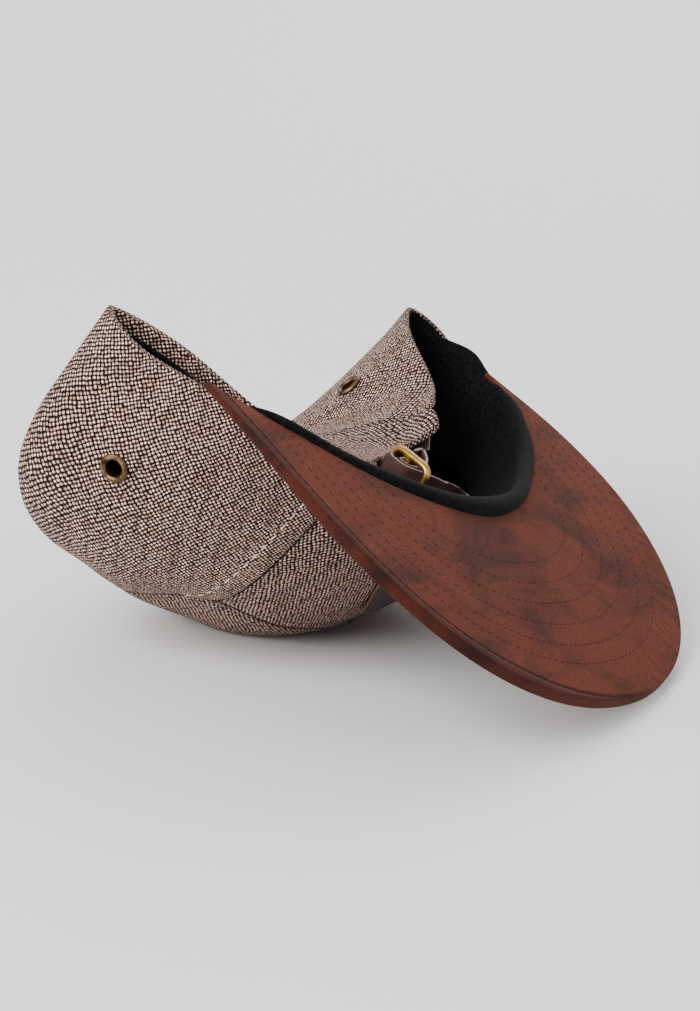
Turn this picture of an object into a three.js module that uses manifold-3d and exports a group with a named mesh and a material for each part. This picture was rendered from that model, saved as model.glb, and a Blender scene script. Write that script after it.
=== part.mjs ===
// Five-panel cap lying upside down, crown on the floor and brim tipped down, its back half pushed in.
// Millimetres. The cap is drawn as worn: x to the wearer's right, y forward, z towards the crown's top.
// The pose groups at the end turn it over and set it on the floor.
import * as THREE from 'three';
import { mergeVertices } from 'three/addons/utils/BufferGeometryUtils.js';
import Module from 'manifold-3d';

// Pose of the cap on the floor.
const PITCH_DEG = 28;
const ROLL_DEG = 14;

// Wall thicknesses and the small space that keeps the pieces apart.
const CLOTH = 2;
const GAP = 0.3;
const SEAM_GAP = 0.5;

// Brim: sewn-in board, measured forward from the front of the rim.
const BRIM_REACH = 61.3;
const BRIM_THICK = 3.6;
const BRIM_END_THICK = 1.8;
const BRIM_PULL_LEFT = [114, 71.4];
const BRIM_PULL_RIGHT = [109, 66];
const BRIM_TIP_PULL_LEFT = 70.3;
const BRIM_TIP_PULL_RIGHT = 74;
const BRIM_TIP_BEND = 14.8;
const BRIM_TWIST = 2.28e-4;
const BRIM_TUCK = 1;
const BRIM_LEFT_DROP = 1.9;

// Sweatband: a strip inside the rim that stands proud beside the brim and sits below the hem elsewhere.
const BAND_THICK = 1.5;
const BAND_ROLL = 6;
const BAND_TALL = 26;
const BAND_PROUD = 5.6;
const HEM = 3.5;

// Crown top: dome over the crown edge, flattened by the floor.
const DOME = new THREE.Vector3(16, 2, 85);
const DOME_POWER = 2.3;

// Eyelets, as turned sections.
const EYELET_R = 4.3;
const EYELET_HOLE_R = 2.45;

// Front patch on the panel's outside.
const PATCH = { half: 18.7, top: 14, bottom: 49, thick: 1.6, topChamfer: 3, bottomChamfer: 14 };

// Buckle and straps.
const BUCKLE = { long: 13.4, wide: 22, wire: 1.3, centre: 5.6, rollerR: 2.2, rollerBore: 1.65 };
const STRAP_WIDE = 18.4;
const STRAP_THICK = 1.7;
const TAB_THICK = 1.4;

// Sections round the crown, from the front to the wearer's left, round the back and home.
// Each row has the rim point, the crown-edge point, how round the wall is between them and its outward belly.
const SECTIONS = [
  { name: 'front', rim: [0, 58, 5.6], edge: [0, 39.5, 58], round: 0.05, belly: 0 },
  { name: 'front_left', rim: [-30, 51.4, 5.2], edge: [-22, 34, 61], round: 0.35, belly: 0 },
  { name: 'seam_left', rim: [-57, 37.8, 4.6], edge: [-42, 22.5, 60.4], round: 0.7, belly: 1 },
  { name: 'brim_left', rim: [-78, 19.4, 3.3], edge: [-46, 14, 65.5], round: 0.8, belly: 1 },
  { name: 'corner_left', rim: [-88, 1.5, 3.4], edge: [-48.5, 3.5, 74], round: 0.9, belly: 1 },
  { name: 'side_left', rim: [-91, -17, 6.7], edge: [-49, -9, 76], round: 0.92, belly: 2 },
  { name: 'fold_left_near', rim: [-91, -28.5, 6.2], edge: [-52, -17, 76.5], round: 0.88, belly: 6 },
  { name: 'fold_left', rim: [-84.5, -36, 6.2], edge: [-54, -24, 75], round: 0.75, belly: 7 },
  { name: 'fold_left_back', rim: [-78.5, -29.5, 5], edge: [-47, -29, 71.5], round: 0.7, belly: 5 },
  { name: 'back_left_outer', rim: [-74.5, -14, 3], edge: [-42, -33, 69], round: 0.5, belly: 1 },
  { name: 'back_left_inner', rim: [-70, 9, 3], edge: [-36, -36, 65.5], round: 0.3, belly: 0 },
  { name: 'back_seam_left', rim: [-56, 25, 3], edge: [-28, -39, 61], round: 0.2, belly: 0 },
  { name: 'arch_left', rim: [-28, 31.5, 4], edge: [-14, -41, 58], round: 0.15, belly: 0 },
  { name: 'back', rim: [-4, 30.5, 3.6], edge: [2, -42, 56.5], round: 0.1, belly: 0 },
  { name: 'arch_right', rim: [20, 23, 2.5], edge: [16, -41, 57.5], round: 0.15, belly: 0 },
  { name: 'back_seam_right', rim: [33.5, 11.2, 1], edge: [26, -40, 60], round: 0.2, belly: 0 },
  { name: 'back_right_inner', rim: [49.5, -0.8, 0.5], edge: [36, -37.5, 64], round: 0.3, belly: 0 },
  { name: 'back_right_outer', rim: [63.5, -17, 0.4], edge: [44, -35, 68], round: 0.5, belly: 3 },
  { name: 'fold_right_back', rim: [76, -27, 0.6], edge: [50, -31.5, 71], round: 0.8, belly: 6 },
  { name: 'fold_right', rim: [90, -33, 0.6], edge: [54, -26, 73.5], round: 1, belly: 4 },
  { name: 'fold_right_far', rim: [96.5, -22.5, 0.2], edge: [56, -17, 74], round: 1, belly: 1 },
  { name: 'side_right', rim: [93.2, -9.8, -0.2], edge: [54, -6, 72.5], round: 1, belly: 1 },
  { name: 'corner_right', rim: [88.6, 0.5, 1.5], edge: [51, 4, 68], round: 0.9, belly: 1 },
  { name: 'brim_right', rim: [78, 19.4, 2.7], edge: [47, 14, 63.5], round: 0.8, belly: 1 },
  { name: 'seam_right', rim: [57, 37.8, 3.8], edge: [42, 22.5, 60], round: 0.7, belly: 1 },
  { name: 'front_right', rim: [30, 51.4, 4.6], edge: [22, 34, 59.5], round: 0.35, belly: 0 },
];
const COUNT = SECTIONS.length;
const at = (name) => SECTIONS.findIndex((row) => row.name === name);

// Closed curves through the table's rows, read at a section number.
const closedCurve = (points) => {
  const curve = new THREE.CatmullRomCurve3(points, true, 'centripetal');
  return (i) => curve.getPoint((((i % COUNT) + COUNT) % COUNT) / COUNT);
};
const rimAt = closedCurve(SECTIONS.map((row) => new THREE.Vector3(...row.rim)));
const edgeAt = closedCurve(SECTIONS.map((row) => new THREE.Vector3(...row.edge)));
const shapeAt = closedCurve(SECTIONS.map((row) => new THREE.Vector3(row.round, row.belly, 0)));

// Outward direction of the rim in plan.
function planOutward(i) {
  const along = rimAt(i + 0.02).sub(rimAt(i - 0.02));
  return new THREE.Vector3(along.y, -along.x, 0).normalize();
}

// Outside of the wall at section i, v from 0 at the rim to 1 at the crown edge.
function wall(i, v) {
  const rim = rimAt(i);
  const edge = edgeAt(i);
  const shape = shapeAt(i);
  const turn = (v * Math.PI) / 2;
  const inward = THREE.MathUtils.lerp(v, 1 - Math.cos(turn), shape.x);
  const down = THREE.MathUtils.lerp(v, Math.sin(turn), shape.x);
  const belly = planOutward(i).multiplyScalar(shape.y * Math.sin(Math.PI * v ** 1.5));
  return rested(
    new THREE.Vector3(
      rim.x + (edge.x - rim.x) * inward + belly.x,
      rim.y + (edge.y - rim.y) * inward + belly.y,
      rim.z + (edge.z - rim.z) * down,
    ),
  );
}
function wallNormal(i, v) {
  const d = 0.02;
  const along = wall(i + d, v).sub(wall(i - d, v));
  const down = wall(i, Math.min(1, v + d)).sub(wall(i, Math.max(0, v - d)));
  return along.cross(down).normalize();
}
// Distance down the wall, in short straight pieces, and the v that lies a distance below the rim.
const DOWN_PIECES = 12;
const downPiece = (i, b) => wall(i, b / DOWN_PIECES).distanceTo(wall(i, (b + 1) / DOWN_PIECES));
function wallTall(i) {
  let tall = 0;
  for (let b = 0; b < DOWN_PIECES; b += 1) tall += downPiece(i, b);
  return tall;
}
function downTo(i, below) {
  let left = below;
  for (let b = 0; b < DOWN_PIECES; b += 1) {
    const piece = downPiece(i, b);
    if (left <= piece) return (b + Math.max(0, left) / piece) / DOWN_PIECES;
    left -= piece;
  }
  return 1;
}

// A point on the wall a distance below the rim (above it where negative) and inset from the outside.
function onWall(i, below, inset) {
  const v = downTo(i, below);
  const point = wall(i, v).addScaledVector(wallNormal(i, v), -inset);
  if (below < 0) point.z += below;
  return point;
}

// Height over the floor of a point drawn as worn, before the floor's own level is taken off.
const pose = new THREE.Matrix4()
  .makeRotationX(THREE.MathUtils.degToRad(PITCH_DEG))
  .multiply(new THREE.Matrix4().makeRotationY(THREE.MathUtils.degToRad(ROLL_DEG)))
  .multiply(new THREE.Matrix4().makeRotationX(Math.PI));
const upward = new THREE.Vector3(0, 0, 1).transformDirection(pose.clone().transpose());
const heightOf = (point) => point.dot(upward);

// Brim surface, mid-thickness, over the plan.
function brimMid(x, y) {
  const forward = Math.max(0, y);
  const corner = Math.max(0, 1 - forward / 40) ** 2 * Math.max(0, -x / 88);
  return BRIM_TIP_BEND * (forward / 122) ** 2 - BRIM_TWIST * x * forward + BRIM_LEFT_DROP * corner;
}
const rimFront = SECTIONS[0].rim[1];
const brimTip = new THREE.Vector2(-2, rimFront + BRIM_REACH);
const brimSide = (sign, start, pull, tipPull) =>
  new THREE.CubicBezierCurve(
    new THREE.Vector2(sign * 88.6, start),
    new THREE.Vector2(sign * pull[0], pull[1]),
    new THREE.Vector2(brimTip.x + sign * tipPull, brimTip.y),
    brimTip,
  );
const brimLeft = brimSide(-1, 0.5, BRIM_PULL_LEFT, BRIM_TIP_PULL_LEFT);
const brimRight = brimSide(1, -1.5, BRIM_PULL_RIGHT, BRIM_TIP_PULL_RIGHT);

// One side of a brim station: q from 0 at the left corner to 1 at the right, s from the rim out.
function brimPoint(q, s, side) {
  const i = THREE.MathUtils.lerp(at('corner_left'), at('corner_right') - COUNT, q);
  const inner = rimAt(i).addScaledVector(planOutward(i), -BRIM_TUCK);
  const outer = q < 0.5 ? brimLeft.getPoint(q * 2) : brimRight.getPoint((1 - q) * 2);
  const x = THREE.MathUtils.lerp(inner.x, outer.x, s);
  const y = THREE.MathUtils.lerp(inner.y, outer.y, s);
  const middle = Math.min(1, Math.sin(Math.PI * q) * 2.2);
  const thick = THREE.MathUtils.lerp(BRIM_END_THICK, BRIM_THICK, middle);
  return new THREE.Vector3(x, y, brimMid(x, y) + (side * thick) / 2);
}

// Solid between two grids of points: front[a][b] faces out, back[a][b] lies behind it.
function slab(front, back) {
  const positions = [];
  const index = [];
  const rows = front.length;
  const cols = front[0].length;
  for (const grid of [front, back]) {
    for (const row of grid) {
      for (const p of row) positions.push(p.x, p.y, p.z);
    }
  }
  const f = (a, b) => a * cols + b;
  const k = (a, b) => rows * cols + a * cols + b;
  const quad = (p, q, r, s) => index.push(p, q, r, p, r, s);
  for (let a = 0; a < rows - 1; a += 1) {
    for (let b = 0; b < cols - 1; b += 1) {
      quad(f(a, b), f(a + 1, b), f(a + 1, b + 1), f(a, b + 1));
      quad(k(a, b), k(a, b + 1), k(a + 1, b + 1), k(a + 1, b));
    }
    quad(f(a, 0), k(a, 0), k(a + 1, 0), f(a + 1, 0));
    quad(f(a, cols - 1), f(a + 1, cols - 1), k(a + 1, cols - 1), k(a, cols - 1));
  }
  for (let b = 0; b < cols - 1; b += 1) {
    quad(f(0, b), f(0, b + 1), k(0, b + 1), k(0, b));
    quad(f(rows - 1, b), k(rows - 1, b), k(rows - 1, b + 1), f(rows - 1, b + 1));
  }
  return solidFrom(positions, index);
}

// Solid swept through closed cross-sections, capped at both ends.
function sweep(sections) {
  const positions = sections.flat().flatMap((p) => [p.x, p.y, p.z]);
  const index = [];
  const n = sections[0].length;
  for (let a = 0; a < sections.length - 1; a += 1) {
    for (let b = 0; b < n; b += 1) {
      const c = (b + 1) % n;
      index.push(a * n + b, (a + 1) * n + c, a * n + c, a * n + b, (a + 1) * n + b, (a + 1) * n + c);
    }
  }
  const last = (sections.length - 1) * n;
  for (let b = 1; b < n - 1; b += 1) {
    index.push(0, b, b + 1, last, last + b + 1, last + b);
  }
  return solidFrom(positions, index);
}

function solidFrom(positions, index) {
  const geometry = new THREE.BufferGeometry();
  geometry.setAttribute('position', new THREE.Float32BufferAttribute(positions, 3));
  geometry.setIndex(index);
  return geometry;
}

// Boolean work on closed solids.
const wasm = await Module();
wasm.setup();
function toManifold(geometry) {
  const bare = new THREE.BufferGeometry();
  bare.setAttribute('position', geometry.getAttribute('position').clone());
  if (geometry.index) bare.setIndex(geometry.index.clone());
  const merged = mergeVertices(bare, 1e-4);
  return new wasm.Manifold(
    new wasm.Mesh({
      numProp: 3,
      vertProperties: new Float32Array(merged.getAttribute('position').array),
      triVerts: new Uint32Array(merged.index.array),
    }),
  );
}
function toGeometry(manifold) {
  const mesh = manifold.getMesh();
  return solidFrom(Array.from(mesh.vertProperties), Array.from(mesh.triVerts));
}
const cutAway = (geometry, tool) => toGeometry(toManifold(geometry).subtract(toManifold(tool)));

// Floor level under the brim's lowest point.
let floorLevel = Infinity;
for (let q = 0; q <= 1.0001; q += 1 / 80) {
  floorLevel = Math.min(floorLevel, heightOf(brimPoint(q, 1, 1)), heightOf(brimPoint(q, 1, -1)));
}
function rested(point) {
  const under = floorLevel - heightOf(point);
  return under > 0 ? point.addScaledVector(upward, under) : point;
}

// Outside of the crown top: s from 0 at its middle to 1 at the crown edge.
function crown(i, s) {
  const edge = edgeAt(i);
  const point = DOME.clone().lerp(edge, s);
  point.z = edge.z + (DOME.z - edge.z) * (1 - s ** DOME_POWER);
  return rested(point);
}
function crownNormal(i, s) {
  const d = 0.03;
  const t = Math.max(s, 0.1);
  const along = crown(i + 0.05, t).sub(crown(i - 0.05, t));
  const out = crown(i, Math.min(1, t + d)).sub(crown(i, t - d));
  return out.cross(along).normalize();
}

// Inner corner shared by the wall and the crown top, on the line that halves their fold.
function edgeInner(i) {
  const a = wallNormal(i, 1);
  const b = crownNormal(i, 1);
  const half = a.clone().add(b).normalize();
  return half.multiplyScalar(-CLOTH / Math.max(0.55, half.dot(a)));
}

// Section numbers from one to another, in thirds so that neighbouring layers bend at the same places.
function thirds(from, to) {
  const list = [from];
  for (let k = Math.floor(from * 3 + 1.4); k / 3 < to - 0.1; k += 1) list.push(k / 3);
  return [...list, to];
}

// Panel of the wall between two section numbers; start(i) gives where its rim side begins.
const WALL_ROWS = 8;
function panel(from, to, start) {
  const front = [];
  const back = [];
  const trim = SEAM_GAP / 2 / 20;
  for (const i of thirds(from + trim, to - trim)) {
    const first = start ? start(i) : 0;
    const last = 1 - SEAM_GAP / 2 / wallTall(i);
    const outer = [];
    const inner = [];
    for (let b = 0; b <= WALL_ROWS; b += 1) {
      const v = THREE.MathUtils.lerp(first, last, b / WALL_ROWS);
      const outside = wall(i, v);
      const mitre = THREE.MathUtils.smoothstep(v, 0.85, 1);
      const inset = wallNormal(i, v).multiplyScalar(-CLOTH).lerp(edgeInner(i), mitre);
      outer.push(outside);
      inner.push(outside.clone().add(inset));
    }
    front.push(outer);
    back.push(inner);
  }
  return slab(front, back);
}

// Strap arch cut up into the back panel.
const ARCH_TALL = 0.15;
const archEnds = [at('arch_left'), at('arch_right') + 0.25];
function archStart(i) {
  const middle = (archEnds[0] + archEnds[1]) / 2;
  const half = (archEnds[1] - archEnds[0]) / 2;
  const side = Math.abs(i - middle) / half;
  return side < 1 ? ARCH_TALL * Math.sqrt(1 - side ** 2.4) : 0;
}

const cloth = (color) => new THREE.MeshStandardMaterial({ color, roughness: 0.95, metalness: 0 });
const metal = (color, roughness) => new THREE.MeshStandardMaterial({ color, roughness, metalness: 1 });
const cap = new THREE.Group();
cap.name = 'cap_as_worn';
function add(name, geometry, material) {
  geometry.computeVertexNormals();
  const mesh = new THREE.Mesh(geometry, material);
  mesh.name = name;
  cap.add(mesh);
  return mesh;
}

// Eyelet with its axis on the wall's normal, and the hole it needs.
function eyeletAt(i, below) {
  const frame = new THREE.Matrix4();
  const centre = onWall(i, below, 0);
  const axis = wallNormal(i, downTo(i, below));
  const turn = new THREE.Quaternion().setFromUnitVectors(new THREE.Vector3(0, 1, 0), axis);
  frame.makeRotationFromQuaternion(turn);
  frame.setPosition(centre);
  const barrel = EYELET_HOLE_R + 0.5;
  const profile = [
    [EYELET_HOLE_R, 0.1 - CLOTH],
    [barrel, 0.1 - CLOTH],
    [barrel, 0.45],
    [EYELET_R, 0.45],
    [EYELET_R - 0.4, 1.0],
    [EYELET_R - 1.2, 1.2],
    [EYELET_HOLE_R, 0.7],
    [EYELET_HOLE_R, 0.1 - CLOTH],
  ].map(([r, y]) => new THREE.Vector2(r, y));
  const ring = new THREE.LatheGeometry(profile, 18).applyMatrix4(frame);
  const hole = new THREE.CylinderGeometry(barrel + 0.35, barrel + 0.35, 12, 18).applyMatrix4(frame);
  return { ring, hole };
}
const eyeletLeft = eyeletAt(at('side_left') - 0.54, 32.6);
const eyeletRight = eyeletAt(at('back_right_outer') + 0.16, 23);

// Crown panels.
const tweed = 0x8f8276;
const seams = {
  frontLeft: at('seam_left'),
  frontRight: at('seam_right'),
  backLeft: at('back_seam_left'),
  backRight: at('back_seam_right'),
};
add('front_panel', panel(seams.frontRight - COUNT, seams.frontLeft), cloth(tweed));
add('side_panel_left', cutAway(panel(seams.frontLeft, seams.backLeft), eyeletLeft.hole), cloth(tweed));
add('back_panel', panel(seams.backLeft, seams.backRight, archStart), cloth(tweed));
add('side_panel_right', cutAway(panel(seams.backRight, seams.frontRight), eyeletRight.hole), cloth(tweed));

// Crown top: rings from the edge to the middle.
const TOP_STEPS = COUNT * 3;
const TOP_RINGS = 6;
function topPanel() {
  const positions = [];
  const index = [];
  for (const side of [0, 1]) {
    for (let r = 0; r < TOP_RINGS; r += 1) {
      for (let a = 0; a < TOP_STEPS; a += 1) {
        const i = (a / TOP_STEPS) * COUNT;
        const s = (1 - SEAM_GAP / 110) * (1 - r / TOP_RINGS);
        const point = crown(i, s);
        const mitre = THREE.MathUtils.smoothstep(s, 0.85, 1);
        const inset = crownNormal(i, s).multiplyScalar(-CLOTH).lerp(edgeInner(i), mitre);
        if (side) point.add(inset);
        positions.push(point.x, point.y, point.z);
      }
    }
    const middle = crown(0, 0);
    if (side) middle.z -= CLOTH;
    positions.push(middle.x, middle.y, middle.z);
  }
  const per = TOP_RINGS * TOP_STEPS + 1;
  const id = (side, r, a) => side * per + r * TOP_STEPS + (a % TOP_STEPS);
  for (let a = 0; a < TOP_STEPS; a += 1) {
    for (let r = 0; r < TOP_RINGS - 1; r += 1) {
      index.push(id(0, r, a), id(0, r, a + 1), id(0, r + 1, a + 1));
      index.push(id(0, r, a), id(0, r + 1, a + 1), id(0, r + 1, a));
      index.push(id(1, r, a), id(1, r + 1, a + 1), id(1, r, a + 1));
      index.push(id(1, r, a), id(1, r + 1, a), id(1, r + 1, a + 1));
    }
    index.push(id(0, TOP_RINGS - 1, a), id(0, TOP_RINGS - 1, a + 1), per - 1);
    index.push(id(1, TOP_RINGS - 1, a + 1), id(1, TOP_RINGS - 1, a), 2 * per - 1);
    index.push(id(0, 0, a), id(1, 0, a), id(1, 0, a + 1), id(0, 0, a), id(1, 0, a + 1), id(0, 0, a + 1));
  }
  return solidFrom(positions, index);
}
add('top_panel', topPanel(), cloth(tweed));

// Brim board.
const BRIM_STEPS = 44;
const BRIM_ROWS = 6;
function brim() {
  const face = (side) => {
    const grid = [];
    for (let a = 0; a <= BRIM_STEPS; a += 1) {
      grid.push([]);
      for (let b = 0; b <= BRIM_ROWS; b += 1) grid[a].push(brimPoint(a / BRIM_STEPS, b / BRIM_ROWS, side));
    }
    return grid;
  };
  return slab(face(1), face(-1));
}
add('brim', brim(), cloth(0x6b3325));

// Sweatband: section points as inset from the wall's outside and distance below the rim.
const besideBrim = (i) => {
  const toFront = Math.abs(i - Math.round(i / COUNT) * COUNT);
  return 1 - THREE.MathUtils.smoothstep(toFront, at('brim_left') - 0.2, at('corner_left') + 0.2);
};
function bandSection(i) {
  const front = besideBrim(i);
  const top = THREE.MathUtils.lerp(HEM, -BAND_PROUD, front);
  const toFront = Math.abs(i - Math.round(i / COUNT) * COUNT);
  const roll = THREE.MathUtils.lerp(BAND_THICK, BAND_ROLL, front * (1 - toFront / 6));
  const out = CLOTH + GAP + 0.1;
  return [
    [out, top + 0.8],
    [out, top + 8],
    [out, top + 17],
    [out, top + BAND_TALL],
    [out + BAND_THICK, top + BAND_TALL],
    [out + BAND_THICK, top + 17],
    [out + BAND_THICK, top + 8],
    [out + roll, top + 4],
    [out + roll, top + 1],
    [out + roll * 0.5, top],
  ].map(([inset, below]) => onWall(i, below, inset));
}
const bandEnds = [archEnds[1] + 0.12 - COUNT, archEnds[0] - 0.12];
const bandSections = thirds(bandEnds[0], bandEnds[1]).map(bandSection);
add('sweatband', sweep(bandSections), cloth(0x151517));

// Eyelets.
add('eyelet_left', eyeletLeft.ring, metal(0x7a6238, 0.45));
add('eyelet_right', eyeletRight.ring, metal(0x7a6238, 0.45));

// Front patch: follows the front panel, its lower corners cut off long.
function patch() {
  const steps = 10;
  const rows = 6;
  const grids = [GAP + PATCH.thick, GAP].map((lift) => {
    const grid = [];
    for (let a = 0; a <= steps; a += 1) {
      const side = THREE.MathUtils.lerp(-1, 1, a / steps);
      const fromSide = PATCH.half * (1 - Math.abs(side));
      const top = PATCH.top + Math.max(0, PATCH.topChamfer - fromSide);
      const bottom = PATCH.bottom - Math.max(0, PATCH.bottomChamfer - fromSide);
      grid.push([]);
      for (let b = 0; b <= rows; b += 1) {
        const below = THREE.MathUtils.lerp(top, bottom, b / rows);
        grid[a].push(onWall((side * PATCH.half) / 30, below - rimAt(0).z, -lift));
      }
    }
    return grid;
  });
  return slab(grids[0], grids[1]);
}
add('front_patch', patch(), cloth(0x2e211c));

// Buckle axes: along the strap, across it, and through it, from the roller's upper corner.
const buckleCorner = new THREE.Vector3(-3.5, 23.6, 5);
const along = new THREE.Vector3(-0.24, 0.96, -0.15).normalize();
const across = new THREE.Vector3(-0.03, 0.34, 0.94);
across.addScaledVector(along, -across.dot(along)).normalize();
const through = along.clone().cross(across);
const buckleFrame = new THREE.Matrix4().makeBasis(along, across, through).setPosition(buckleCorner);
const inBuckle = (s, c, m) => new THREE.Vector3(s, c, m).applyMatrix4(buckleFrame);

// Round wire along a path, closed on itself or capped.
function wire(points, radius, segments, isClosed) {
  const curve = new THREE.CatmullRomCurve3(points, isClosed, 'catmullrom', 0.02);
  return new THREE.TubeGeometry(curve, segments, radius, 8, isClosed);
}
function buckle() {
  const { long, wide, wire: r } = BUCKLE;
  const bend = 2;
  const loop = [];
  const corners = [
    [long - bend, bend, -90],
    [long - bend, wide - bend, 0],
    [bend, wide - bend, 90],
    [bend, bend, 180],
  ];
  for (const [s, c, turn] of corners) {
    for (const step of [0, 30, 60, 90]) {
      const angle = THREE.MathUtils.degToRad(turn + step);
      loop.push(inBuckle(s + bend * Math.cos(angle), c + bend * Math.sin(angle), 0));
    }
  }
  const frame = toManifold(wire(loop, r, 44, true));
  const bar = new THREE.CylinderGeometry(r - 0.1, r - 0.1, wide, 10);
  bar.translate(BUCKLE.centre, wide / 2, 0).applyMatrix4(buckleFrame);
  return toGeometry(frame.add(toManifold(bar)));
}
add('buckle_frame', buckle(), metal(0xb08a45, 0.3));

// Roller tube on the rear bar.
const rollerProfile = [
  [BUCKLE.rollerBore, -7.6],
  [BUCKLE.rollerR, -7.6],
  [BUCKLE.rollerR, 7.6],
  [BUCKLE.rollerBore, 7.6],
  [BUCKLE.rollerBore, -7.6],
].map(([r, y]) => new THREE.Vector2(r, y));
const roller = new THREE.LatheGeometry(rollerProfile, 18);
roller.translate(0, BUCKLE.wide / 2, 0).applyMatrix4(buckleFrame);
add('buckle_roller', roller, metal(0x6f5a30, 0.4));

// Flat leather ribbon through centre points, each with the direction across its width.
function ribbon(stations, wide, thick, steps) {
  const path = new THREE.CatmullRomCurve3(stations.map((row) => row.point), false, 'centripetal');
  const lean = new THREE.CatmullRomCurve3(stations.map((row) => row.across), false, 'centripetal');
  const sections = [];
  for (let a = 0; a <= steps; a += 1) {
    const t = a / steps;
    const centre = path.getPoint(t);
    const side = lean.getPoint(t).normalize();
    const face = path.getTangent(t).cross(side).normalize();
    side.copy(face).cross(path.getTangent(t)).normalize();
    const corner = (w, h) =>
      centre.clone().addScaledVector(side, (w * wide) / 2).addScaledVector(face, (h * thick) / 2);
    sections.push([corner(-1, -1), corner(-1, 1), corner(1, 1), corner(1, -1)]);
  }
  return sweep(sections);
}
const half = BUCKLE.wide / 2;
const inFrame = (s, m) => ({ point: inBuckle(s, half, m), across });
const upright = (x, y, z, lean) => ({
  point: new THREE.Vector3(x, y, z),
  across: new THREE.Vector3(0, lean, 1),
});
const onLeg = (i, below) => ({
  point: onWall(i, below, CLOTH + BAND_THICK + 2.2),
  across: onWall(i, below + 1, 0).sub(onWall(i, below - 1, 0)).normalize(),
});

// Long strap: from the left leg along the front, back through the buckle, its end curled.
const strapStations = [
  onLeg(at('arch_left') - 0.7, 15),
  onLeg(at('arch_left') - 0.2, 15),
  upright(-20, 41, 20, -0.2),
  upright(-8, 46, 21, -0.35),
  upright(6, 46.2, 21, -0.35),
  upright(17, 44.2, 21, -0.3),
  upright(24, 40.7, 20.8, -0.1),
  upright(24.5, 37, 20, 0.1),
  upright(18, 36.6, 18.6, 0.2),
  upright(10, 38.2, 16.6, 0.2),
  upright(2.5, 39.6, 14.6, 0.16),
  inFrame(12.3, 3.4),
  inFrame(10, -0.5),
  inFrame(8.4, -3.9),
  inFrame(5.2, -4.6),
  inFrame(2.6, -4.1),
  inFrame(1.6, -3.4),
];
add('strap', ribbon(strapStations, STRAP_WIDE, STRAP_THICK, 70), cloth(0x4a3536));

// Short tab: from the right leg round the buckle's middle bar and back.
const loopR = BUCKLE.wire - 0.1 + 0.4 + TAB_THICK / 2;
const round = (deg) => {
  const angle = THREE.MathUtils.degToRad(deg);
  return inFrame(BUCKLE.centre + loopR * Math.cos(angle), loopR * Math.sin(angle));
};
const tabStations = [
  onLeg(at('arch_right') + 0.75, 13),
  onLeg(at('arch_right') + 0.25, 14),
  inFrame(-2.5, 11),
  inFrame(2.2, 4.6),
  round(175),
  round(220),
  round(270),
  round(320),
  round(5),
  inFrame(6.8, 4.6),
  inFrame(2.5, 11.8),
  inFrame(-7, 20),
];
add('strap_tab', ribbon(tabStations, STRAP_WIDE, TAB_THICK, 50), cloth(0x4a3536));

// Turned over, tipped and set down with the floor at zero and the bounds centred on the origin.
const turned = new THREE.Group();
turned.add(cap);
cap.rotation.x = Math.PI;
const rolled = new THREE.Group();
rolled.add(turned);
turned.rotation.y = THREE.MathUtils.degToRad(ROLL_DEG);
const part = new THREE.Group();
part.name = 'five_panel_cap';
part.add(rolled);
rolled.rotation.x = THREE.MathUtils.degToRad(PITCH_DEG);
part.updateMatrixWorld(true);
const bounds = new THREE.Box3().setFromObject(part, true);
const centre = bounds.getCenter(new THREE.Vector3());
rolled.position.set(-centre.x, -centre.y, -bounds.min.z);

export default part;
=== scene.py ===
import math

import bmesh
import bpy
import numpy as np
from mathutils import Matrix, Vector, noise
from mathutils.bvhtree import BVHTree
from mathutils.kdtree import KDTree


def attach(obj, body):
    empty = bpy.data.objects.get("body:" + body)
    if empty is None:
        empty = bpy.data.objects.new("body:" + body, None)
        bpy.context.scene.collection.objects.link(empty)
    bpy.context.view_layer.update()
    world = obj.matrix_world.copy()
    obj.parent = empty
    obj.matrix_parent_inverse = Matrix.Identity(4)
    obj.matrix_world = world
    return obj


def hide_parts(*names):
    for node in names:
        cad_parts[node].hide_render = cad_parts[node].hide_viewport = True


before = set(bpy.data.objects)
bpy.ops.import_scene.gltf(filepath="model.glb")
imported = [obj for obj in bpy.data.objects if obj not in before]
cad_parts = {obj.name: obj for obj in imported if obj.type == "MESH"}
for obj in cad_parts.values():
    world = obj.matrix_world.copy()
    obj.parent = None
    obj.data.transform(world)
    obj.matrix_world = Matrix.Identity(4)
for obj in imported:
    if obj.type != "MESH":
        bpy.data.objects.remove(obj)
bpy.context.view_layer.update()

# Crown panels: four walls and a top cut from thick wool tweed, folded in at the rim and sewn edge to edge.
# The cap lies on its top with the back half pushed in. "As worn" means turned back the right way up, in
# millimetres from between the brim's corners: x to the wearer's right, y forward, z up to the crown.
MM = 0.001
PITCH = math.radians(28)
ROLL = math.radians(14)
CAP_AT = Vector((0.893, 16.715, 72.915)) * MM
worn_to_world = (
    Matrix.Translation(CAP_AT)
    @ Matrix.Rotation(PITCH, 4, "X")
    @ Matrix.Rotation(ROLL, 4, "Y")
    @ Matrix.Rotation(math.pi, 4, "X")
)
world_to_worn = worn_to_world.inverted()
toward_crown = (worn_to_world.to_3x3() @ Vector((0, 0, 1))).normalized()
WALLS = ("front_panel", "side_panel_left", "back_panel", "side_panel_right")
PANELS = WALLS + ("top_panel",)


def linear(code):
    """A hex colour as linear red, green, blue and alpha."""
    parts = [int(code[k : k + 2], 16) / 255 for k in (1, 3, 5)]
    return tuple(c / 12.92 if c <= 0.04045 else ((c + 0.055) / 1.055) ** 2.4 for c in parts) + (1.0,)


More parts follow.
